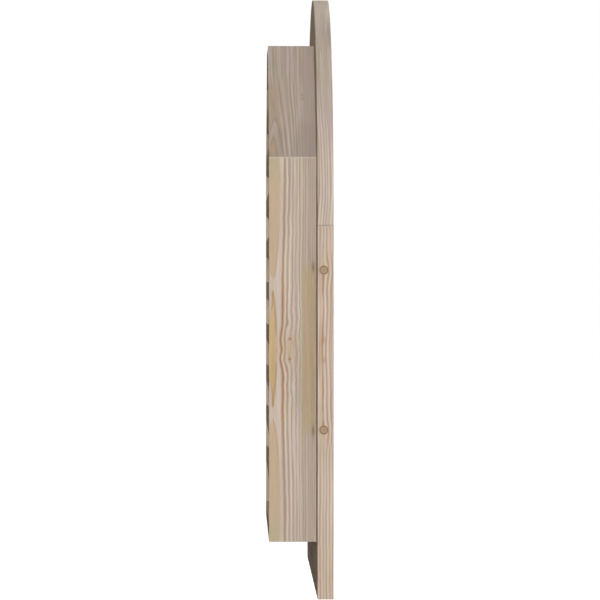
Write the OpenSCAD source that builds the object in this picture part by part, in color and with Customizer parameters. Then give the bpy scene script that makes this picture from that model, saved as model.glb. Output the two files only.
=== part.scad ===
// Round-top gable vent: a face frame with a half-round head, a shallow box
// behind it that goes into the wall, and ten fixed slats that shed rain to
// the front. Everything is flat softwood board.
//
// Millimetres. Front faces -Y, up is +Z. Origin: middle of the sill line of
// the wall opening, on the wall's outer face, where the frame's back lies.

/* [Overall] */

// Width of the face frame
overall_w = 584.2; // [520:0.1:680]

// Height of the face frame, from its bottom edge to the top of the arch
overall_h = 736.6; // [660:0.1:860]

// How far the face frame reaches past the box, all round
flange_w = 63.5; // [45:0.5:70]

/* [Face frame] */

// How far the frame's inner edge reaches past the inside of the box
reveal = 7.45; // [3.5:0.05:22]

// Thickness of the frame boards
frame_t = 19.05; // [16:0.05:26]

// Depth of the seat cut in the frame's back, in which the box stands
seat_d = 6.35; // [3:0.05:8]

/* [Box] */

// How far the box stands out behind the frame
box_depth = 57.15; // [50:0.05:90]

// Thickness of the box boards
board_t = 19.05; // [14:0.05:22]

/* [Slats] */

// Thickness of a slat, square to its face
slat_t = 14.65; // [9:0.05:17]

// Slope of the slats, down towards the front, in degrees
slat_slope = 45; // [35:1:50]

// How far the slat ends are let into the box boards
housing_d = 6.35; // [3:0.05:9]

// Space left between the top slat's back edge and the top board
slat_top_gap = 3.2; // [1:0.05:12]

/* [Dowels and nails] */

// Diameter of the dowels in the frame's joints
dowel_d = 8; // [6:0.5:8]

// Length of a dowel
dowel_l = 38; // [25:1:45]

// Shank diameter of the finishing nails
nail_d = 1.8; // [1.4:0.1:2.4]

// Length of a nail
nail_l = 38; // [32:1:50]

/* [Hidden] */

$fn = 96;
slat_count = 10;

// Face frame
frame_w = flange_w + board_t + reveal; // width of its boards
arch_r = overall_w / 2;             // outer radius of the arch
open_r = arch_r - frame_w;          // radius and half width of the opening
frame_z0 = -flange_w;               // bottom edge of the frame
spring_z = frame_z0 + overall_h - arch_r; // springline, centre of the arch

// Box. The arch's inner curve just covers the shoulder boards, so their
// inner faces touch the circle of the opening.
box_half = arch_r - flange_w;       // outer half width, and rise of the top
inner_half = box_half - board_t;
root2 = sqrt(2);

// Slats
slat_back_h = slat_t / cos(slat_slope);   // height of the plumb-cut edge
slat_pitch = (spring_z + inner_half - board_t - slat_back_h - slat_top_gap)
    / slat_count;
slat_run = min(box_depth - 2, slat_pitch / tan(slat_slope));
slat_drop = slat_run * tan(slat_slope);
function slat_low(k) = board_t + k * slat_pitch; // lower back edge of slat k

// Fasteners lie in the middle of the wood in front of the seat
lip_y = -(frame_t + seat_d) / 2;
hole_play = 0.05;
nail_head_d = 1.7 * nail_d;
nail_head_h = 1.2;
nail_set = 0.4;                     // heads are set this far below the face
web_mid = (housing_d + board_t) / 2; // middle of the wood behind a housing

frame_wood = [0.80, 0.66, 0.53];
box_wood = [0.76, 0.62, 0.49];
slat_wood = [0.74, 0.60, 0.47];
dowel_wood = [0.84, 0.72, 0.55];
steel = [0.62, 0.62, 0.63];

// Outline of the box seen from the front, at a distance d outside the
// inner faces of its boards: a rectangle with its two top corners cut off.
function outline_side(d) = inner_half + d;
function outline_cut(d) = (open_r + d) * root2;
function joint_low(d) = spring_z + outline_cut(d) - outline_side(d);
function joint_top(d) = outline_cut(d) - outline_side(d);
function outline(d) = [
    [-outline_side(d), board_t - d],
    [outline_side(d), board_t - d],
    [outline_side(d), joint_low(d)],
    [joint_top(d), spring_z + outline_side(d)],
    [-joint_top(d), spring_z + outline_side(d)],
    [-outline_side(d), joint_low(d)]
];

// A drawing of the front, made solid from y0 to y1
module upright(y0, y1) {
    translate([0, y1, 0]) rotate([90, 0, 0])
        linear_extrude(height = y1 - y0) children();
}

// The left-hand twin of a right-hand piece
module left_twin() {
    mirror([1, 0, 0]) children();
}

// Seat for the box, cut in the back of the frame
module seat() {
    upright(-seat_d, 1) polygon(outline(board_t));
}

// Dowel places: [x, z, turned], where turned ones run up through the
// springline joints and the others run across
dowel_in = 0.24;                    // share of the board's width from an edge
dowel_places = concat(
    [for (s = [-1, 1]) for (u = [dowel_in, 1 - dowel_in])
        [s * open_r, frame_z0 + u * frame_w, false]],
    [for (s = [-1, 1]) for (u = [dowel_in, 1 - dowel_in])
        [s * (open_r + u * frame_w), spring_z, true]],
    [for (u = [dowel_in, 1 - dowel_in])
        [0, spring_z + open_r + u * frame_w, false]]
);

module at_dowels() {
    for (p = dowel_places)
        translate([p[0], lip_y, p[1]])
            rotate(p[2] ? [0, 0, 0] : [0, 90, 0]) children();
}

module dowel_holes() {
    at_dowels()
        cylinder(d = dowel_d + 2 * hole_play, h = dowel_l + 2, center = true);
}

// Nail places: [x, z]. They run past the slats, in the wood outside the
// housings, and keep clear of the dowels at the springline.
nail_x = outline_side(web_mid);
nail_low = 2.2 * board_t;
nail_high = spring_z - dowel_l / 2 - 22;
side_nails = concat(
    [for (i = [0 : 3]) nail_low + i * (nail_high - nail_low) / 3],
    [joint_low(web_mid) - 22]
);
shoulder_a = [nail_x, joint_low(web_mid)];
shoulder_b = [joint_top(web_mid), spring_z + nail_x];
nail_places = concat(
    [for (s = [-1, 1]) for (z = side_nails) [s * nail_x, z]],
    [for (s = [-1, 1]) for (u = [0.2, 0.8])
        [s * (shoulder_a[0] + u * (shoulder_b[0] - shoulder_a[0])),
         shoulder_a[1] + u * (shoulder_b[1] - shoulder_a[1])]],
    [for (s = [-1, 1]) [s * 0.62 * joint_top(0), spring_z + nail_x]],
    [for (i = [-1, 0, 1]) [i * 0.62 * open_r, board_t / 2]]
);

// A round nail, head at y = 0, pointing to +Y
module nail(play) {
    r = nail_d / 2 + play;
    head_r = nail_head_d / 2 + play;
    rotate([-90, 0, 0]) rotate_extrude()
        polygon([[0, 0], [head_r, 0], [head_r, nail_head_h + play],
            [r, nail_head_h + play], [r, nail_l - 3], [0, nail_l + play]]);
}

module at_nails() {
    for (p = nail_places) translate([p[0], nail_set - frame_t, p[1]]) children();
}

module nail_holes() {
    at_nails() {
        nail(hole_play);
        rotate([90, 0, 0]) cylinder(d = nail_head_d + 2 * hole_play, h = 2);
    }
}

// Face frame boards, right-hand side
module stile() {
    color(frame_wood) difference() {
        upright(-frame_t, 0) translate([open_r, frame_z0])
            square([frame_w, spring_z - frame_z0]);
        seat();
        dowel_holes();
        nail_holes();
    }
}

module arch() {
    color(frame_wood) difference() {
        upright(-frame_t, 0) translate([0, spring_z]) intersection() {
            difference() {
                circle(r = arch_r, $fn = 180);
                circle(r = open_r, $fn = 180);
            }
            square(arch_r + 1);
        }
        seat();
        dowel_holes();
        nail_holes();
    }
}

module bottom_rail() {
    color(frame_wood) difference() {
        upright(-frame_t, 0) translate([-open_r, frame_z0])
            square([2 * open_r, frame_w]);
        seat();
        dowel_holes();
        nail_holes();
    }
}

module frame_dowels() {
    r = dowel_d / 2;
    half = dowel_l / 2;
    color(dowel_wood) at_dowels() rotate_extrude()
        polygon([[0, -half], [r - 1, -half], [r, 1 - half],
            [r, half - 1], [r - 1, half], [0, half]]);
}

module frame_nails() {
    color(steel) at_nails() nail(0);
}

// A board of the box, from its drawing
module box_board(points) {
    color(box_wood) difference() {
        upright(-seat_d, box_depth) polygon(points);
        nail_holes();
    }
}

// A board that carries slats: their ends are let into its inner face
module housed_board(points) {
    color(box_wood) difference() {
        box_board(points);
        for (k = [1 : slat_count]) slat_shape(k);
    }
}

module side() {
    housed_board([
        [inner_half, 0], [box_half, 0],
        [box_half, joint_low(board_t)], [inner_half, joint_low(0)]
    ]);
}

module shoulder() {
    color(box_wood) difference() {
        housed_board([
            [inner_half, joint_low(0)], [box_half, joint_low(board_t)],
            [joint_top(board_t), spring_z + box_half],
            [joint_top(0), spring_z + inner_half]
        ]);
        // a housing that ends just above the mitre runs out through it
        for (k = [1 : slat_count]) {
            over = slat_low(k) - joint_low(0);
            if (over > 0 && over < housing_d)
                translate([0, 0, -over]) slat_shape(k);
        }
    }
}

module top_board() {
    box_board([
        [-joint_top(0), spring_z + inner_half],
        [joint_top(0), spring_z + inner_half],
        [joint_top(board_t), spring_z + box_half],
        [-joint_top(board_t), spring_z + box_half]
    ]);
}

module bottom_board() {
    box_board([
        [-inner_half, 0], [inner_half, 0],
        [inner_half, board_t], [-inner_half, board_t]
    ]);
}

// Slat k, counted from the bottom: both long edges are cut plumb, and the
// ends follow the box, with as much more as is let into its boards
module slat_shape(k) {
    back_y = box_depth;
    front_y = box_depth - slat_run;
    low = slat_low(k);
    intersection() {
        translate([-arch_r, 0, 0]) rotate([90, 0, 90])
            linear_extrude(height = 2 * arch_r) polygon([
                [front_y, low - slat_drop],
                [back_y, low],
                [back_y, low + slat_back_h],
                [front_y, low - slat_drop + slat_back_h]
            ]);
        upright(-1, box_depth + 1) polygon(outline(housing_d));
    }
}

module slat(k) {
    color(slat_wood) slat_shape(k);
}

left_twin() stile();  // stile_left
stile();  // stile_right
bottom_rail();
left_twin() arch();  // arch_left
arch();  // arch_right
frame_dowels();
frame_nails();
left_twin() side();  // side_left
side();  // side_right
bottom_board();
left_twin() shoulder();  // shoulder_left
shoulder();  // shoulder_right
top_board();
slat(1);  // slat_01
slat(2);  // slat_02
slat(3);  // slat_03
slat(4);  // slat_04
slat(5);  // slat_05
slat(6);  // slat_06
slat(7);  // slat_07
slat(8);  // slat_08
slat(9);  // slat_09
slat(10);  // slat_10
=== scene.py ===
# Round-top gable vent in planed softwood, seen edge on from the left.
import math
import bpy
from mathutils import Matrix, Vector


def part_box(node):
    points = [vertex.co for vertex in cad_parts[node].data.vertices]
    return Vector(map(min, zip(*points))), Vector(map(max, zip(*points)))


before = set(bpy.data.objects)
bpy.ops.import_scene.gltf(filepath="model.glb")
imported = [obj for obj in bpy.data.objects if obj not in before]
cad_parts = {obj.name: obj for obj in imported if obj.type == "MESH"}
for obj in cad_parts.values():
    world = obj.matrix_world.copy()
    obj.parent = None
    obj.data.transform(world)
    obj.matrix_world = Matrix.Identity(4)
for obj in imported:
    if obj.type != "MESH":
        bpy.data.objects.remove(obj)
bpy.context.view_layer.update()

scene = bpy.context.scene
scene.view_settings.view_transform = "Standard"

MM = 1000.0             # millimetres in a metre


# Node graphs, written as expressions
class Val:
    """A node's output socket that can be reckoned with."""

    def __init__(self, g, sock):
        self.g, self.sock = g, sock

    def __add__(self, o):
        return self.g.math("ADD", self, o)

    def __radd__(self, o):
        return self.g.math("ADD", o, self)

    def __sub__(self, o):
        return self.g.math("SUBTRACT", self, o)

    def __rsub__(self, o):
        return self.g.math("SUBTRACT", o, self)

    def __mul__(self, o):
        return self.g.math("MULTIPLY", self, o)

    def __truediv__(self, o):
        return self.g.math("DIVIDE", self, o)

    def __neg__(self):
        return self.g.math("MULTIPLY", self, -1.0)


class Graph:
    """Builds the nodes of a material, or of the world, from expressions."""

    def __init__(self, owner):
        self.owner = owner
        owner.use_nodes = True
        self.nt = owner.node_tree
        self.nt.nodes.clear()

    def node(self, kind, **props):
        n = self.nt.nodes.new(kind)
        for k, v in props.items():
            setattr(n, k, v)
        return n

    def put(self, sock, value):
        if isinstance(value, Val):
            self.nt.links.new(value.sock, sock)
        else:
            sock.default_value = value

    def math(self, op, *args):
        n = self.node("ShaderNodeMath", operation=op)
        for i, a in enumerate(args):
            self.put(n.inputs[i], a)
        return Val(self, n.outputs[0])

    def absv(self, a):
        return self.math("ABSOLUTE", a)

    def sqrt(self, a):
        return self.math("SQRT", a)

    def fract(self, a):
        return self.math("FRACT", a)

    def floor(self, a):
        return self.math("FLOOR", a)

    def exp(self, a):
        return self.math("EXPONENT", a)

    def lo(self, a, b):
        return self.math("MINIMUM", a, b)

    def hi(self, a, b):
        return self.math("MAXIMUM", a, b)

    def pow(self, a, b):
        return self.math("POWER", a, b)

    def bell(self, a, centre, width):
        """1 at the centre, falling off on both sides."""
        d = (a - centre) / width
        return self.exp(-(d * d))

    def step(self, a, e0, e1, v0=0.0, v1=1.0):
        """From v0 to v1, smoothly, as a goes from e0 to e1."""
        n = self.node("ShaderNodeMapRange", interpolation_type="SMOOTHSTEP")
        for i, v in enumerate((a, e0, e1, v0, v1)):
            self.put(n.inputs[i], v)
        return Val(self, n.outputs[0])

    def vec(self, x, y, z):
        n = self.node("ShaderNodeCombineXYZ")
        for i, v in enumerate((x, y, z)):
            self.put(n.inputs[i], v)
        return Val(self, n.outputs[0])

    def any_noise(self, dimensions, socket, where, detail, rough):
        """Noise, about -1 to 1."""
        n = self.node("ShaderNodeTexNoise", noise_dimensions=dimensions)
        self.put(n.inputs[socket], where)
        n.inputs["Scale"].default_value = 1.0
        n.inputs["Detail"].default_value = detail
        n.inputs["Roughness"].default_value = rough
        return (Val(self, n.outputs[0]) - 0.5) * 2.0

    def noise(self, x, y, z, detail=2.0, rough=0.5):
        """Noise in three directions."""
        return self.any_noise("3D", "Vector", self.vec(x, y, z), detail, rough)

    def noise1(self, w):
        """Noise along one direction."""
        return self.any_noise("1D", "W", w, 2.0, 0.5)

    def white(self, w):
        """A random number, 0 to 1, for each value of w."""
        n = self.node("ShaderNodeTexWhiteNoise", noise_dimensions="1D")
        self.put(n.inputs["W"], w)
        return Val(self, n.outputs[0])

    def mix(self, t, a, b):
        """Colours a to b by t."""
        n = self.node("ShaderNodeMix", data_type="RGBA", clamp_factor=True)
        self.put(n.inputs[0], t)
        for i, c in ((6, a), (7, b)):
            if isinstance(c, Val):
                self.put(n.inputs[i], c)
            else:
                n.inputs[i].default_value = (*c, 1.0)
        return Val(self, n.outputs[2])

    def shade(self, colour, factor):
        """Colour times a number."""
        n = self.node("ShaderNodeVectorMath", operation="SCALE")
        self.put(n.inputs["Vector"], colour)
        self.put(n.inputs["Scale"], factor)
        return Val(self, n.outputs[0])

    def times(self, colour, by):
        """Colour times colour."""
        n = self.node("ShaderNodeVectorMath", operation="MULTIPLY")
        self.put(n.inputs[0], colour)
        self.put(n.inputs[1], by)
        return Val(self, n.outputs[0])

    def tint(self, colour, t):
        """A slight drift of hue, from pinkish at t = 0 to olive at t = 1."""
        return self.times(colour, self.mix(t, (1.03, 0.975, 1.06), (0.97, 1.02, 0.93)))

    def parts(self, kind, output):
        """The x, y and z of what a node puts out."""
        n = self.node("ShaderNodeSeparateXYZ")
        self.nt.links.new(self.node(kind).outputs[output], n.inputs[0])
        return [Val(self, n.outputs[i]) for i in range(3)]

    def place(self):
        """Object coordinates in millimetres."""
        return [v * MM for v in self.parts("ShaderNodeTexCoord", "Object")]

    def normal(self):
        """The face's own direction."""
        return self.parts("ShaderNodeNewGeometry", "True Normal")

    def seen_directly(self):
        """1 where the camera looks, also by way of gloss or glass, else 0."""
        lp = self.node("ShaderNodeLightPath")
        camera, glossy, clear = [Val(self, lp.outputs[s]) for s in
                                 ("Is Camera Ray", "Is Glossy Ray", "Is Transmission Ray")]
        return self.hi(self.hi(camera, glossy), clear)

    def output(self, kind, shader):
        out = self.node(kind)
        self.nt.links.new(shader.outputs[0], out.inputs["Surface"])
        return self.owner


def new_material(name):
    return Graph(bpy.data.materials.new(name))


def srgb(r, g, b):
    """A colour as a picture shows it, made linear."""
    def lin(c):
        c /= 255.0
        return c / 12.92 if c <= 0.04045 else ((c + 0.055) / 1.055) ** 2.4
    return (lin(r), lin(g), lin(b))


# Tones of the wood inside the boards
WHEAT = srgb(202, 187, 169)
CREAM = srgb(191, 174, 156)
STRAW = srgb(181, 161, 136)
BROWN = srgb(160, 135, 109)

# Tones of the edges that face the camera
PALE = srgb(199, 187, 175)
ROSE = srgb(187, 173, 161)
SAND = srgb(176, 159, 139)
LATE = srgb(158, 138, 119)
KNOT = srgb(116, 82, 56)


# Wood in general
def dot(p, v):
    """p along the direction v, where p is three Vals."""
    out = None
    for c, k in zip(p, v):
        if abs(k) < 1e-6:
            continue
        term = c * k
        out = term if out is None else out + term
    return out


def count_rings(g, q, width, seed, wander):
    """q in rings instead of mm. Their width drifts over three or four rings."""
    return q / width + g.noise1(q / (width * 3.2) + seed) * wander + seed


def rings(g, q, width, seed):
    """Late wood, 0 to 1, of growth rings that follow one another along q."""
    t = count_rings(g, q, width, seed, 0.9)
    f = g.fract(t)
    strength = g.pow(g.white(g.floor(t) + seed), 1.2) * 0.75 + 0.25
    return g.step(f, 0.30, 0.84) * g.step(f, 0.86, 1.0, 1.0, 0.0) * strength


def body(g, q, l, width, seed, late, hues, fine):
    """Softwood between the main features: streaks of two hues, pale bands
    and thin late wood, all along the grain. q crosses the rings and l runs
    along the board, both in mm. late is how far late wood goes to the last
    of the hues, and fine how strong the thinnest streaks are."""
    rose, sand, pale, dark = hues
    broad = g.noise(q * 0.28, l * 0.0032, seed, 3.0, 0.62)
    light = g.noise(q * 0.50, l * 0.0052, seed + 7.0, 2.0, 0.6)
    thin = g.noise(q * 0.82, l * 0.010, seed + 13.0, 2.0, 0.62)
    col = g.mix(g.step(broad, -0.26, 0.30), rose, sand)
    col = g.mix(g.step(light, 0.0, 0.36) * 0.85, col, pale)
    ring = rings(g, q, width, seed)
    col = g.mix(ring * late, col, dark)
    drift = g.noise(q * 0.30, l * 0.010, seed + 3.0)
    col = g.tint(col, g.step(drift, -0.40, 0.40))
    return g.shade(col, 1.0 + thin * (0.30 * fine)), ring


def lines(g, col, q, l, seed, marks, tone, gate=1.0):
    """Single rings at given places: (q, half width, strength), each coming
    and going a little along the board. gate says where they show."""
    for i, (at, wide, power) in enumerate(marks):
        come = g.noise1(l * 0.013 + seed + i * 3.7) * 0.7 + 0.9
        col = g.mix(g.bell(q, at, wide) * come * (gate * power), col, tone)
    return col


ROUGH = 0.72            # planed, unfinished wood
BUMP_M = 0.0004         # height of the grain
ROUND_M = 0.0007        # radius of the boards' edges, in shading only


def finish_wood(g, colour, ring, l, a, b, end):
    """Fibres, flecks, end grain, roughness and bump that all boards share.
    l runs along the grain, a and b across it."""
    fibre = g.noise(a * 1.9, b * 1.9, l * 0.045, 3.0, 0.65)
    fleck = g.step(g.noise(a * 2.4, b * 2.4, l * 0.13 + 31.0, 2.0, 0.5), 0.22, 0.5)
    colour = g.shade(colour, (1.0 + fibre * 0.10 - fleck * 0.07) * (1.0 - end * 0.22))
    p = g.node("ShaderNodeBsdfPrincipled")
    g.put(p.inputs["Base Color"], colour)
    g.put(p.inputs["Roughness"], ROUGH + fibre * 0.1 - ring * 0.08 + end * 0.12)
    p.inputs["Specular IOR Level"].default_value = 0.0
    bump = g.node("ShaderNodeBump")
    bump.inputs["Strength"].default_value = 0.5
    bump.inputs["Distance"].default_value = BUMP_M
    g.put(bump.inputs["Height"], ring * 0.6 + fibre * 0.5 - fleck * 0.3)
    bevel = g.node("ShaderNodeBevel", samples=4)
    bevel.inputs["Radius"].default_value = ROUND_M
    g.nt.links.new(bevel.outputs[0], bump.inputs["Normal"])
    g.nt.links.new(bump.outputs[0], p.inputs["Normal"])
    return g.output("ShaderNodeOutputMaterial", p)


def end_grain(g, nrm, along):
    """1 on the faces sawn across the grain."""
    return g.step(g.absv(dot(nrm, along)), 0.8, 0.97)


def solid(g, l, a, b, pith, width, seed, tilt, knot=None):
    """Wood in the solid, at l along the board, a across it and b through it.
    pith is where the heart of the tree lies in (a, b), in mm, and tilt is
    how fast the board leaves it, which draws the arches of grain. A knot is
    its place in (a, l) and its radius, and the rings flow round it."""
    flow = a
    if knot:
        at_a, at_l, radius = knot
        da, dl = a - at_a, (l - at_l) * 0.62
        d2 = da * da + dl * dl
        flow = flow - da * (radius * radius * 0.9) / (d2 + radius * radius * 0.35)
        d = g.sqrt(d2)
        core = g.step(d, radius * 1.15, radius * 0.8)
        rim = g.bell(d, radius * 0.92, radius * 0.22) + g.bell(d, 0.0, radius * 0.35) * 0.8
    sway = g.noise(l * 0.0026 + seed, flow * 0.006, b * 0.006) * 13.0
    ripple = g.noise(l * 0.016, flow * 0.045 + seed, b * 0.045, 2.0, 0.6) * 1.1
    da = flow - pith[0]
    db = b - pith[1]
    rho = g.sqrt(da * da + db * db) + l * tilt + sway + ripple
    t = count_rings(g, rho, width, seed, 0.8)
    f = g.fract(t)
    turn = g.floor(t)
    strength = g.white(turn + seed) * 0.6 + 0.4
    ring = g.step(f, 0.15, 0.90) * g.step(f, 0.92, 1.0, 1.0, 0.0) * strength
    ring = ring * (g.noise(l * 0.008, rho * 0.1, seed) * 0.5 + 1.0)
    cloud = g.noise(a * 0.018, b * 0.018, l * 0.004 + seed)
    streak = g.noise(a * 0.55, b * 0.55, l * 0.007 + seed, 3.0, 0.62)
    col = g.mix(g.white(turn + seed + 0.5) * 0.35 + g.step(cloud, -0.3, 0.3) * 0.45, WHEAT, CREAM)
    col = g.mix(g.step(streak, -0.05, 0.4) * 0.5, col, STRAW)
    col = g.mix(ring * 0.8, col, BROWN)
    col = g.shade(col, 1.0 + streak * 0.16)
    if knot:
        col = g.mix(core * 0.7, col, LATE)
        col = g.mix(rim * 0.85, col, KNOT)
    return col, ring


def plain_wood(name, along, across, thick, pith, width, seed, tilt=0.01,
               tone=1.0, knot=None, back=None):
    """A board of solid wood. along, across and thick are unit directions,
    width is that of a ring in mm. tone multiplies the board's colour, and
    back that of its faces to the back, which paints shade on them."""
    g = new_material(name)
    p = g.place()
    nrm = g.normal()
    l, a, b = dot(p, along), dot(p, across), dot(p, thick)
    col, ring = solid(g, l, a, b, pith, width, seed, tilt, knot)
    col = g.shade(col, tone)
    # painted shade: the faces to the back darkened by back
    if back:
        col = g.mix(g.step(nrm[1], 0.8, 0.95), col, g.times(col, back))
    return finish_wood(g, col, ring, l, a, b, end_grain(g, nrm, along))


def dress(node, mat):
    o = bpy.data.objects[node]
    o.data.materials.clear()
    o.data.materials.append(mat)


def span(node):
    """A node's lowest and highest corners, in millimetres."""
    low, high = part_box(node)
    return low * MM, high * MM


X, Y, Z = (1, 0, 0), (0, 1, 0), (0, 0, 1)
H = math.sqrt(0.5)
RISING, FALLING = (H, 0, H), (-H, 0, H)     # at 45 degrees, seen from the front
EDGE = -span("arch_left")[0].x          # outer radius of the frame
SPRING = span("arch_left")[0].z         # height at which the arch starts
SIDE = -span("side_left")[0].x          # half the box's width
DEPTH = span("side_left")[1].y          # the box behind the wall line
CORNER = span("side_left")[1].z         # height at which the shoulder starts
TOP = span("shoulder_left")[1].z        # top of the box
MID = 233.1         # the figure of the left boards mirrors about this height


# The painted figure of the four left boards
def join(g, painted, col, ring, face, grain):
    """The painted figure where painted is 1, wood in the solid elsewhere."""
    return g.mix(painted, face, col), grain + painted * (ring - grain)


def paint_shade_beside_box(g, face, nrm, x, start, end, amount):
    """Painted shade on the flange's back beside the box: darker and warmer as x goes from start to
    end.
    """
    back = g.step(nrm[1], 0.3, 0.7) * g.step(x, start, end)
    face = g.shade(face, 1.0 - back * amount)
    return g.mix(back, face, g.times(face, (1.0, 0.95, 0.93)))


def joint(g, col, z):
    """A fine dark line where the stile and the arch meet."""
    return g.shade(col, 1.0 - g.bell(z, SPRING + 0.4, 0.55) * 0.3)


def painted_edge_shade(g, v):
    """A factor for a board's edge at v = 0, a little darker: painted shade along the line where the
    box meets the frame.
    """
    return 1.0 - g.bell(v, 0.0, 0.7) * 0.1


def near_stile():
    """Left stile. Its outer edge shows two round knots, and rings that the
    knots push aside."""
    g = new_material("wood_stile_left")
    x, y, z = g.place()
    nrm = g.normal()
    s = g.absv(z - MID)
    v = -y                                  # 0 at the back, 19 at the front
    knot_up, knot_in, knot_r = 95.0, 7.3, 4.4
    ds, dv = s - knot_up, v - knot_in
    d = g.sqrt(ds * ds + dv * dv)
    # r numbers the rings in mm from the back, on the outer edge
    push = dv * 15.0 / (ds * ds * 0.4 + dv * dv + 9.0)
    heart = (x + 245.0) * (x + 245.0) / 140.0 - 15.84
    r = v + g.bell(s, 0.0, 24.0) * 1.3 - push
    r = r + g.noise(z * 0.010, v * 0.05, x * 0.02) * 1.6 + g.noise1(z * 0.045) * 0.5
    r = r + heart + g.noise(z * 0.004, x * 0.01, 5.0) * 9.0 * g.step(x, -290.0, -250.0)
    hues = (srgb(195, 177, 163), srgb(184, 164, 145), srgb(204, 188, 175), srgb(168, 146, 126))
    col, ring = body(g, r, z, 3.1, 4.0, 0.4, hues, 1.15)
    # single rings, beyond the knots and between them
    beyond = g.step(s, 104.0, 125.0)
    between = 1.0 - beyond
    dark, pale = srgb(160, 137, 115), srgb(206, 191, 177)
    beyond_dark = ((3.2, 0.9, 0.8), (6.8, 0.8, 0.7), (10.3, 0.8, 0.75), (13.9, 0.9, 0.65),
                   (17.6, 0.8, 0.6))
    beyond_pale = ((5.1, 0.7, 0.5), (8.7, 0.7, 0.6), (12.2, 0.8, 0.7), (16.0, 0.8, 0.6))
    between_pale = ((9.3, 1.3, 0.7), (13.6, 1.2, 0.6), (1.6, 1.2, 0.5))
    between_dark = ((3.4, 0.7, 0.4), (11.4, 0.9, 0.9), (15.9, 0.9, 0.8))
    col = lines(g, col, r, z, 1.0, beyond_dark, dark, beyond)
    col = lines(g, col, r, z, 2.0, beyond_pale, pale, beyond)
    col = lines(g, col, r, z, 3.0, between_pale, pale, between)
    col = lines(g, col, r, z, 4.0, between_dark, dark, between)
    # the strongest ring, which runs from knot to knot, and two red marks on it
    strength = g.step(s, 96.0, 80.0) * (g.noise1(z * 0.03 + 8.0) * 0.8 + 0.95)
    col = g.mix(g.bell(r, 6.8, 0.95) * strength, col, srgb(163, 128, 97))
    marks = g.bell(s, 12.0, 4.5) * g.bell(v, 7.2, 2.2)
    col = g.mix(marks * 0.55, col, srgb(172, 126, 92))
    # the knots: ground, rim, inner ring, core, and a tail towards the middle
    col = g.mix(g.step(d, 6.6, 4.6) * 0.7, col, srgb(170, 150, 122))
    col = g.mix(g.bell(d, knot_r, 0.8) * 0.85, col, srgb(124, 92, 64))
    col = g.mix(g.bell(d, 2.4, 0.6) * 0.3, col, LATE)
    col = g.mix(g.bell(d, 0.0, 1.6) * 0.75, col, srgb(148, 114, 80))
    tail = g.bell(v, 6.8, 1.2) * g.step(d, 5.0, 6.0) * g.step(d, 16.0, 7.0)
    col = g.mix(tail * g.step(s, 96.0, 90.0) * 0.7, col, srgb(158, 116, 82))
    # warmer wood by the knots and at mid height, and a paler patch
    warm = g.bell(s, 104.0, 15.0) * g.bell(v, 8.0, 7.0)
    warm = warm + g.bell(s, 8.0, 22.0) * g.bell(v, 3.0, 5.0) * 0.8
    col = g.mix(warm, col, g.times(col, (0.94, 0.90, 0.83)))
    # a paler patch, and painted shade along the back edge where the box meets the frame
    col = g.shade(col, g.bell(s, 48.0, 18.0) * g.bell(v, 3.0, 3.5) * 0.1 + painted_edge_shade(g, v))
    col = g.times(col, (1.03, 1.025, 1.02))
    face, grain = solid(g, z, x, y, (-245, 52), 3.6, 13.0, 0.012)
    # painted shade on the flange's back beside the box, a little less below the box
    face = paint_shade_beside_box(g, face, nrm, x, -222.0, -230.0, g.step(z, -5.0, 8.0, 0.22, 0.3))
    outer = g.step(nrm[0], -0.3, -0.7)
    col, ring = join(g, outer, col, ring, face, grain)
    return finish_wood(g, joint(g, col, z), ring, z, y, x, end_grain(g, nrm, Z))


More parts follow.
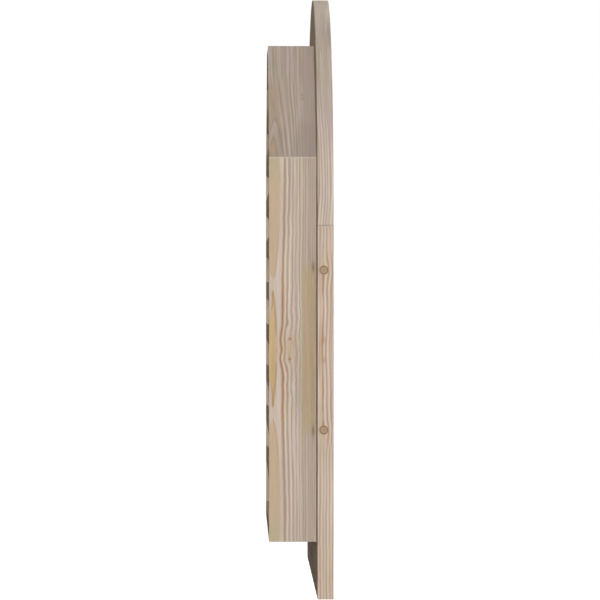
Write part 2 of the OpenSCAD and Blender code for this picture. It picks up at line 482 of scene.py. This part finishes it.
def near_arch():
    """Left half of the arch, flat sawn: thin rings run along its edge."""
    g = new_material("wood_arch_left")
    x, y, z = g.place()
    nrm = g.normal()
    l = (x + z) * H
    a = (z - x) * H
    v = -y                                  # 0 at the back, 19 at the front
    rise = (z - SPRING) / EDGE              # 0 at the spring, 1 at the top
    off = a - 520.0
    r = v + off * off / 560.0 + l * 0.006
    r = r + g.noise(l * 0.006, a * 0.006, 2.0) * 4.0
    r = r + g.noise(l * 0.018, v * 0.08, a * 0.018) * 0.9
    hues = (srgb(194, 179, 167), srgb(184, 169, 154), srgb(206, 192, 180), srgb(160, 141, 124))
    col, ring = body(g, r, l, 3.3, 23.0, 0.4, hues, 1.6)
    # thin rings in turns dark and pale, crisp low down and faint higher up
    crisp = g.step(rise, 0.62, 0.12)
    count, gap = 14, 3.45
    dark = [(gap * i - 8.2 + 0.35 * (i % 3), 0.85, 0.62 + 0.12 * (i % 2)) for i in range(count)]
    pale = [(gap * i - 6.5 + 0.3 * (i % 2), 0.75, 0.45 + 0.15 * (i % 3)) for i in range(count)]
    col = lines(g, col, r, l, 7.0, dark, srgb(152, 133, 116), crisp * 0.8 + 0.16)
    col = lines(g, col, r, l, 8.0, pale, srgb(214, 200, 188), crisp * 0.75 + 0.1)
    # broad light and dark along the curve, partly the wood's own tone and partly painted shade of how
    # the light falls on the curve; the front of the edge is paler low down and at the very top
    tone = 0.98 - g.bell(rise, 0.58, 0.30) * 0.18 + g.step(rise, 0.80, 1.0) * 0.19
    front = g.step(v, 9.0, 16.0)
    tone = tone + front * (g.bell(rise, 0.12, 0.22) * 0.10 - g.bell(rise, 0.80, 0.07) * 0.11)
    tone = tone + front * g.step(rise, 0.86, 0.92) * 0.09
    tone = tone - g.bell(v, 9.0, 3.5) * g.bell(rise, 0.08, 0.10) * 0.1
    # less grain near the top
    quiet = g.step(rise, 0.80, 0.92)
    col = g.mix(quiet * 0.5, col, srgb(187, 174, 160))
    col = g.mix(quiet, col, g.times(col, (1.0, 1.03, 1.02)))
    # painted shade along the back edge, where the box meets the frame
    col = g.shade(col, tone * painted_edge_shade(g, v))
    face, grain = solid(g, l, a, y, (535, 60), 3.5, 23.0, 0.012)
    # painted shade on the flange's back beside the box, fading out higher up
    face = paint_shade_beside_box(g, face, nrm, x, -215.0, -235.0, g.step(z, 530.0, 450.0) * 0.3)
    curved = g.step(g.absv(nrm[1]), 0.7, 0.3)       # 1 on the curved edges
    col, ring = join(g, curved, col, ring, face, grain)
    return finish_wood(g, joint(g, col, z), ring, l, y, a, end_grain(g, nrm, RISING))


def near_side():
    """Left board of the box, rift sawn: straw-coloured bands at the back
    edge, one strong rusty ring, fine rings towards the front, and a pair
    of pin knots at mid height."""
    g = new_material("wood_side_left")
    x, y, z = g.place()
    nrm = g.normal()
    s = g.absv(z - MID)
    w = DEPTH - y + (x + SIDE) * 0.3        # from the back edge; the rings slant through the board
    pin_up, pin_in = 12.3, 25.0
    eye_up, eye_in = 99.0, 53.3
    # q numbers the rings in mm; they swing back towards mid height and round the pin knots
    wob = g.noise(z * 0.012, w * 0.04, 7.0, 3.0, 0.6) * 1.2 + g.noise1(z * 0.06 + 4.0) * 0.5
    kink = g.bell(s, 0.0, 6.0) * g.step(w, 21.0, 17.0)
    swing = g.step(s, 210.0, 60.0) * 2.6 + g.step(s, 34.0, 12.0) * 2.2 - kink
    dw = pin_in - w
    pins = g.bell(s, 11.0, 8.0) * dw * 7.0 / (dw * dw + 12.0) * g.step(dw, 0.0, 5.0)
    curl = g.noise(z * 0.042, w * 0.09, 3.0) * 2.4 * g.step(s, 120.0, 35.0) * g.step(w, 14.0, 22.0)
    q = w + swing * g.step(w, 37.0, 19.0) + pins + wob + curl * g.step(w, 46.0, 36.0)
    col, ring = body(g, q, z, 2.9, 2.0, 0.35, (ROSE, SAND, PALE, LATE), 1.7)
    front = g.step(q, 37.0, 43.0)
    plain = g.mix(g.noise(q * 0.5, z * 0.004, 2.0) + 0.5, srgb(180, 167, 156), srgb(171, 156, 140))
    col = g.mix(front * 0.75, col, plain)
    # rings, one by one; they fade where the tan patch is
    seen = 1.0 - g.step(s, 118.0, 60.0) * front
    pale = ((21.9, 1.1, 0.8), (26.9, 1.1, 0.55), (31.5, 1.0, 0.5), (35.2, 0.8, 0.4),
            (38.8, 0.7, 0.35), (45.8, 0.8, 0.3))
    dark = ((24.2, 0.9, 0.6), (29.3, 0.7, 0.5), (33.2, 0.8, 0.45), (36.9, 0.7, 0.45),
            (41.4, 0.7, 0.6), (43.9, 0.7, 0.65), (47.6, 0.8, 0.6), (50.1, 0.6, 0.6),
            (52.4, 0.6, 0.6), (54.8, 0.7, 0.5))
    col = lines(g, col, q, z, 5.0, pale, srgb(204, 191, 180), seen)
    col = lines(g, col, q, z, 6.0, dark, srgb(154, 137, 121), seen)
    # tan patch near the front edge, along the middle of the board
    start = 40.4 + g.noise(z * 0.02, 4.0, 1.0) * 2.2
    patch = g.step(w, start - 0.8, start + 0.8) * g.step(s, 112.0, 84.0)
    streak = g.noise(w * 0.55, z * 0.008, 8.0, 3.0, 0.6)
    tan = g.mix(streak * 1.3 + 0.5, srgb(168, 145, 116), srgb(183, 162, 138))
    col = g.mix(patch * 0.85, col, tan)
    olive = g.bell(w, start - 0.3, 1.6) * g.step(s, 130.0, 100.0) + patch * g.step(s, 50.0, 90.0) * 0.6
    col = g.mix(olive * 0.5, col, srgb(172, 161, 130))
    # straw bands at the back edge: an outer one from s = 84 on, and a spindle up to s = 71
    outer_s, inner_s = 84.0, 71.0
    past = g.hi((s - outer_s) / 70.0, 0.0001)
    e1 = g.lo(g.pow(past, 0.5) * 9.0 + 4.0, 14.8) - g.step(s, 205.0, 238.0) * 3.0 + wob * 0.5
    f1 = 4.0 - (s - outer_s) * 0.35 - wob * 0.4
    in1 = g.step(w, e1 + 0.5, e1 - 0.5) * g.step(w, f1 - 0.4, f1 + 0.4) * g.step(s, 83.5, 85.5)
    e2 = 9.2 - g.pow(s / inner_s, 1.9) * 4.4 + g.bell(s, 0.0, 12.0) * 1.5 + wob * 0.3
    f2 = g.step(s, 30.0, 56.0, -0.5, 4.0)
    in2 = g.step(w, e2 + 0.5, e2 - 0.4) * g.step(w, f2 - 0.4, f2 + 0.4) * g.step(s, 72.0, 70.0)
    outside = (1.0 - in1) * (1.0 - in2) * g.step(w, 15.0, 12.0)
    col = g.mix(outside * 0.55, col, srgb(200, 184, 170))
    t = g.noise(w * 0.25, z * 0.012, 3.0, 3.0)
    olive = t * 0.7 + g.step(s, 190.0, 222.0, 0.15, 0.85)
    col = g.mix(in1 * 0.92, col, g.mix(olive, srgb(190, 166, 139), srgb(178, 166, 138)))
    col = g.mix(in2 * 0.94, col, g.mix(t * 1.4 + 0.5, srgb(200, 172, 136), srgb(184, 158, 116)))
    # darker lines along the edges of the bands
    line1 = g.bell(w, e1, 0.8) * g.step(s, 82.0, 90.0) * g.step(s, 190.0, 95.0, 0.1, 0.8)
    line2 = g.bell(w, e2, 0.9) + g.bell(w, f2, 0.9) * g.step(s, 40.0, 52.0)
    col = g.mix(line1 * 0.7, col, srgb(172, 138, 106))
    col = g.mix(line2 * g.step(s, 73.0, 66.0) * 0.75, col, srgb(160, 130, 92))
    # the rusty ring, with paler wood on both sides, and two lesser ones
    r = q - 19.1
    mid = g.step(s, 190.0, 40.0)
    col = g.mix(g.bell(r, -3.6, 1.7) * 0.7, col, srgb(201, 186, 174))
    rusty = g.mix(mid, srgb(158, 134, 113), srgb(159, 114, 78))
    glow = g.bell(s, 0.0, 19.0) * g.step(w, 14.0, 18.0) * g.step(w, 37.0, 32.0)
    warm = g.shade(srgb(190, 168, 141), g.noise(w * 0.5, z * 0.012, 9.0) * 0.3 + 1.0)
    col = g.mix(glow * 0.75, col, warm)
    second = g.bell(q, 24.3, 1.0) * g.step(s, 95.0, 60.0)
    col = g.mix(second * 0.75, col, srgb(168, 138, 110))
    third = g.bell(q, 33.2, 0.8) * g.step(s, 80.0, 45.0)
    col = g.mix(third * 0.5, col, srgb(162, 138, 114))
    col = g.mix(g.bell(r, 0.0, 1.35) * (mid * 0.14 + 0.8), col, rusty)
    col = g.mix(g.bell(r, 5.1, 0.9) * mid * 0.4, col, LATE)
    # pin knots, faint eyes near the front edge, and a painted highlight along the top edge under the
    # mitre
    dp = g.sqrt((s - pin_up) * (s - pin_up) + dw * dw * 1.4)
    col = g.mix(g.bell(dp, 0.0, 1.7) * 0.9, col, srgb(150, 100, 66))
    de = g.sqrt((s - eye_up) * (s - eye_up) * 0.07 + (w - eye_in) * (w - eye_in))
    col = g.mix(g.bell(de, 0.0, 1.7) * 0.72, col, srgb(128, 100, 74))
    # a pale band just under the mitre: a painted highlight on the board's top edge
    col = g.mix(g.step(z, CORNER - 2.6, CORNER - 1.0) * 0.4, col, PALE)
    # broad light and dark
    broad = g.bell(s, 88.0, 46.0) * g.bell(w, 23.0, 9.0) * 0.12
    broad = broad + g.bell(s, 150.0, 45.0) * g.bell(w, 37.0, 9.0) * 0.07
    broad = broad - g.step(w, 46.0, 52.0) * g.step(s, 135.0, 100.0) * 0.08
    broad = broad - g.bell(s, 0.0, 32.0) * g.bell(w, 33.0, 8.0) * 0.08
    # painted shade along the front edge, where the box meets the frame
    col = g.shade(col, broad + painted_edge_shade(g, y))
    face, grain = solid(g, z, y, x, (22, -300), 3.4, 33.0, 0.012)
    outer = g.step(nrm[0], -0.3, -0.7)
    col, ring = join(g, outer, col, ring, face, grain)
    return finish_wood(g, col, ring, z, y, x, end_grain(g, nrm, Z))


def near_shoulder():
    """Left shoulder: streaks that run with the board at the top and fan out
    towards its lower end."""
    g = new_material("wood_shoulder_left")
    x, y, z = g.place()
    nrm = g.normal()
    l = (x + z) * H
    t = (z - x) * H
    m = (z - CORNER) / (TOP - CORNER)       # 0 at the bottom, 1 at the top
    u = DEPTH - y                           # 0 at the back edge
    fan = g.pow(g.hi(0.72 - m, 0.0001), 1.25) * 24.0 * g.step(u, 46.0, 6.0)
    q = u + t * 0.12 - 57.0 - fan + g.noise(l * 0.012, u * 0.03, 4.0) * 1.6
    hues = (srgb(170, 156, 147), srgb(162, 149, 133), srgb(178, 166, 156), srgb(144, 127, 111))
    col, ring = body(g, q, l, 5.2, 6.0, 0.2, hues, 1.5)
    # streaks, one by one, of the upper end and of the lower
    upper = g.step(m, 0.62, 0.74)
    lower = (1.0 - upper) * g.step(m, 0.60, 0.05, 0.45, 1.0)
    dark, light = srgb(146, 130, 116), srgb(184, 171, 163)
    upper_dark = ((8.8, 1.8, 0.35), (18.5, 0.9, 0.4), (22.7, 0.9, 0.4), (28.8, 1.0, 0.55),
                  (35.4, 1.1, 0.35), (41.0, 0.9, 0.5))
    upper_light = ((1.5, 1.8, 0.6), (16.0, 1.1, 0.5), (20.3, 0.8, 0.4), (25.7, 1.2, 0.6),
                   (31.8, 1.2, 0.4), (38.2, 1.1, 0.35))
    lower_dark = ((4.6, 1.1, 0.9), (14.2, 1.0, 0.9), (22.4, 0.9, 0.8), (27.8, 0.7, 0.6),
                  (33.0, 0.7, 0.6), (36.6, 0.7, 0.45), (42.4, 0.8, 0.45))
    lower_light = ((10.6, 1.3, 0.8), (18.8, 1.1, 0.95), (25.8, 0.9, 0.8), (30.4, 0.7, 0.5),
                   (34.8, 0.7, 0.5), (39.4, 1.0, 0.3))
    col = lines(g, col, q, l, 3.0, upper_dark, dark, upper)
    col = lines(g, col, q, l, 9.0, upper_light, light, upper)
    low_back = g.step(m, 0.76, 0.50) * g.step(u, 28.0, 10.0)
    col = g.mix(low_back * 0.6, col, srgb(164, 146, 126))
    col = lines(g, col, q, l, 11.0, lower_dark, dark, lower)
    col = lines(g, col, q, l, 13.0, lower_light, light, lower)
    col = g.mix(g.step(u, 38.0, 50.0) * 0.75, col, srgb(156, 142, 134))
    # nested arches of grain at the back edge, with pink wood between them
    arks = []
    for centre, foot, high, wide in ((7.4, 0.0, 0.33, 9.5), (5.4, -0.04, 0.21, 6.2)):
        tip = (u - centre) / wide
        arks.append(m - foot - (1.0 - tip * tip) * high)
    inside = g.step(arks[0], 0.01, -0.01) * g.step(arks[1], -0.01, 0.01)
    col = g.mix(inside * 0.6, col, srgb(177, 162, 153))
    col = g.mix(g.step(arks[1], 0.01, -0.01) * 0.5, col, srgb(160, 140, 121))
    for ark in arks:
        rim = g.bell(ark, 0.0, 0.022) * g.step(u, 19.0, 13.0)
        col = g.mix(rim * 0.55, col, srgb(150, 130, 110))
    # broad light and dark
    broad = g.step(m, 0.80, 0.95) * g.step(u, 30.0, 0.0) * 0.09
    broad = broad - g.bell(u, 14.0, 5.5) * g.step(m, 0.30, 0.20) * 0.13
    broad = broad - g.step(m, 0.40, 0.20) * g.step(u, 24.0, 38.0) * 0.09
    col = g.shade(col, broad + 1.0)
    # two warm spots near the back edge, and a pair of olive pin knots
    for at_m, at_u in ((0.56, 5.0), (0.07, 5.5)):
        spot = g.bell(m, at_m, 0.035) * g.bell(u, at_u, 2.6)
        col = g.mix(spot * 0.6, col, srgb(180, 150, 124))
    for at_m in (0.551, 0.513):
        d = g.sqrt((m - at_m) * (m - at_m) * 14000.0 + (u - 41.0) * (u - 41.0))
        col = g.mix(g.bell(d, 0.0, 1.6) * 0.6, col, srgb(148, 132, 92))
    face, grain = solid(g, l, y, t, (20, 350), 3.5, 39.0, 0.012)
    outer = g.step(dot(nrm, FALLING), 0.3, 0.7)
    col, ring = join(g, outer, col, ring, face, grain)
    return finish_wood(g, col, ring, l, y, t, end_grain(g, nrm, RISING))


# The four left boards, whose outer faces the photograph shows
dress("stile_left", near_stile())
dress("arch_left", near_arch())
dress("side_left", near_side())
dress("shoulder_left", near_shoulder())

# The other boards of the frame
dress("stile_right", plain_wood("wood_stile_right", Z, X, Y, pith=(245, 50), width=3.6,
                                seed=11.0, knot=(252.0, 150.0, 6.0)))
# the rail's faces to the back darker: painted shade
dress("bottom_rail", plain_wood("wood_rail", X, Z, Y, pith=(-30, 45), width=3.8, seed=17.0,
                                tilt=0.02, back=(0.82, 0.80, 0.80)))
dress("arch_right", plain_wood("wood_arch_right", FALLING, RISING, Y, pith=(520, 60), width=3.5,
                               seed=29.0))
dress("frame_dowels", plain_wood("wood_dowel", Z, X, Y, pith=(0, 40), width=2.4, seed=91.0,
                                 tone=0.95))

# The other boards of the box
dress("side_right", plain_wood("wood_side_right", Z, Y, X, pith=(70, 300), width=3.4,
                               seed=37.0, knot=(24.0, 170.0, 5.0)))
# the board's faces to the back darker and browner: painted shade
dress("bottom_board", plain_wood("wood_bottom", X, Y, Z, pith=(20, -60), width=3.6, seed=41.0,
                                 back=(0.72, 0.62, 0.52)))
dress("shoulder_right", plain_wood("wood_shoulder_right", FALLING, Y, RISING, pith=(60, 640),
                                   width=3.5, seed=43.0))
dress("top_board", plain_wood("wood_top", X, Y, Z, pith=(10, 690), width=3.7, seed=47.0))

# The slats, each sawn from another place in the tree; some have a knot
SLATS = 10
KNOTTY = (3, 6, 8)
for k in range(1, SLATS + 1):
    node = "slat_%02d" % k
    low = span(node)[0]
    plane = (low.z - low.y) * H             # the slat's lower face, along its thickness
    at = (plane + 38.0, 120.0 - 70.0 * (k % 4), 3.6)
    # each slat's face to the back browner: painted shade
    dress(node, plain_wood("wood_" + node, X, (0, H, H), (0, -H, H),
                           pith=(plane + 30.0 - 11.0 * (k % 4), plane + 45.0 + 13.0 * (k % 3)),
                           width=3.2 + 0.3 * (k % 4), seed=51.0 + 3.7 * k,
                           tilt=0.008 * ((k % 5) - 2), tone=0.97 + 0.02 * (k % 3),
                           knot=at if k in KNOTTY else None, back=(1.0, 0.92, 0.76)))


def steel():
    """Dull steel of the nail heads, which lie in their shadowed holes; its dark colour is partly
    painted shade of those holes.
    """
    g = new_material("nail_steel")
    x, y, z = g.place()
    n = g.noise(x * 1.3, y * 1.3, z * 1.3, 3.0)
    p = g.node("ShaderNodeBsdfPrincipled")
    g.put(p.inputs["Base Color"], g.mix(n + 0.5, (0.10, 0.10, 0.105), (0.17, 0.165, 0.16)))
    p.inputs["Metallic"].default_value = 1.0
    g.put(p.inputs["Roughness"], 0.55 + n * 0.15)
    return g.output("ShaderNodeOutputMaterial", p)


dress("frame_nails", steel())

# The floor, the world, the lamps and the camera
WHITE = (1, 1, 1, 1)
FLOOR_Z = -0.55         # metres
FLOOR_SIZE = 60.0
MIDDLE = Vector((0, 0, 0.3))            # of the vent, where the lamps aim
CAMERA_AT = (-4.032, 0.0904, 0.3140)


def paper():
    """White paper: grey to the light, and near white to the camera."""
    g = new_material("paper_floor")
    x, y = g.place()[:2]
    n = g.noise(x * 0.01, y * 0.01, 0.0)
    d = g.node("ShaderNodeBsdfDiffuse")
    g.put(d.inputs["Color"], g.mix(n + 0.5, (0.25, 0.25, 0.25), (0.27, 0.27, 0.27)))
    e = g.node("ShaderNodeEmission")
    e.inputs["Color"].default_value = WHITE
    # whiter away from the object, so that the floor has no far edge
    away = g.step(g.sqrt(x * x + y * y), 700.0, 3200.0, 0.86, 1.0)
    g.put(e.inputs["Strength"], g.seen_directly() * away)
    add = g.node("ShaderNodeAddShader")
    g.nt.links.new(d.outputs[0], add.inputs[0])
    g.nt.links.new(e.outputs[0], add.inputs[1])
    return g.output("ShaderNodeOutputMaterial", add)


bpy.ops.mesh.primitive_plane_add(size=FLOOR_SIZE, location=(0, 0, FLOOR_Z))
floor = bpy.context.object
floor.name = "floor"
floor.data.materials.append(paper())


def studio():
    """The world: white to the camera, and a weak soft light on the object."""
    g = Graph(bpy.data.worlds.new("studio"))
    light, white = g.node("ShaderNodeBackground"), g.node("ShaderNodeBackground")
    for n, strength in ((light, 0.09), (white, 1.0)):
        n.inputs["Color"].default_value = WHITE
        n.inputs["Strength"].default_value = strength
    mix = g.node("ShaderNodeMixShader")
    g.put(mix.inputs[0], g.seen_directly())
    g.nt.links.new(light.outputs[0], mix.inputs[1])
    g.nt.links.new(white.outputs[0], mix.inputs[2])
    return g.output("ShaderNodeOutputWorld", mix)


scene.world = studio()


def put_in_scene(name, data, place, ahead):
    """A lamp or a camera at a place, looking along ahead."""
    o = bpy.data.objects.new(name, data)
    scene.collection.objects.link(o)
    o.location = place
    o.rotation_euler = ahead.to_track_quat("-Z", "Y").to_euler()
    return o


def lamp(name, place, size, power):
    """A round soft lamp, aimed at the middle of the vent."""
    data = bpy.data.lights.new(name, "AREA")
    data.shape = "DISK"
    data.size = size
    data.energy = power
    put_in_scene(name, data, place, MIDDLE - Vector(place))


lamp("key", place=(-6.2, 0.34, 0.70), size=1.1, power=321.0)
lamp("top", place=(-0.6, 0.7, 5.6), size=2.4, power=98.0)
lamp("front", place=(0.9, -5.6, 1.5), size=2.6, power=256.0)
lamp("right", place=(5.8, -1.4, 1.6), size=2.6, power=178.0)
lamp("back", place=(4.2, 4.6, 0.5), size=2.4, power=32.0)


def camera():
    """Four metres off the left edge, a little behind the wall line, turned
    slightly to the front and down."""
    data = bpy.data.cameras.new("camera")
    data.sensor_width = 36.0
    data.lens = 189.0
    data.clip_end = 200.0
    turn, dip = math.radians(1.064), math.radians(0.328)
    ahead = Vector((math.cos(turn) * math.cos(dip), -math.sin(turn) * math.cos(dip), -math.sin(dip)))
    return put_in_scene("camera", data, CAMERA_AT, ahead)


scene.camera = camera()
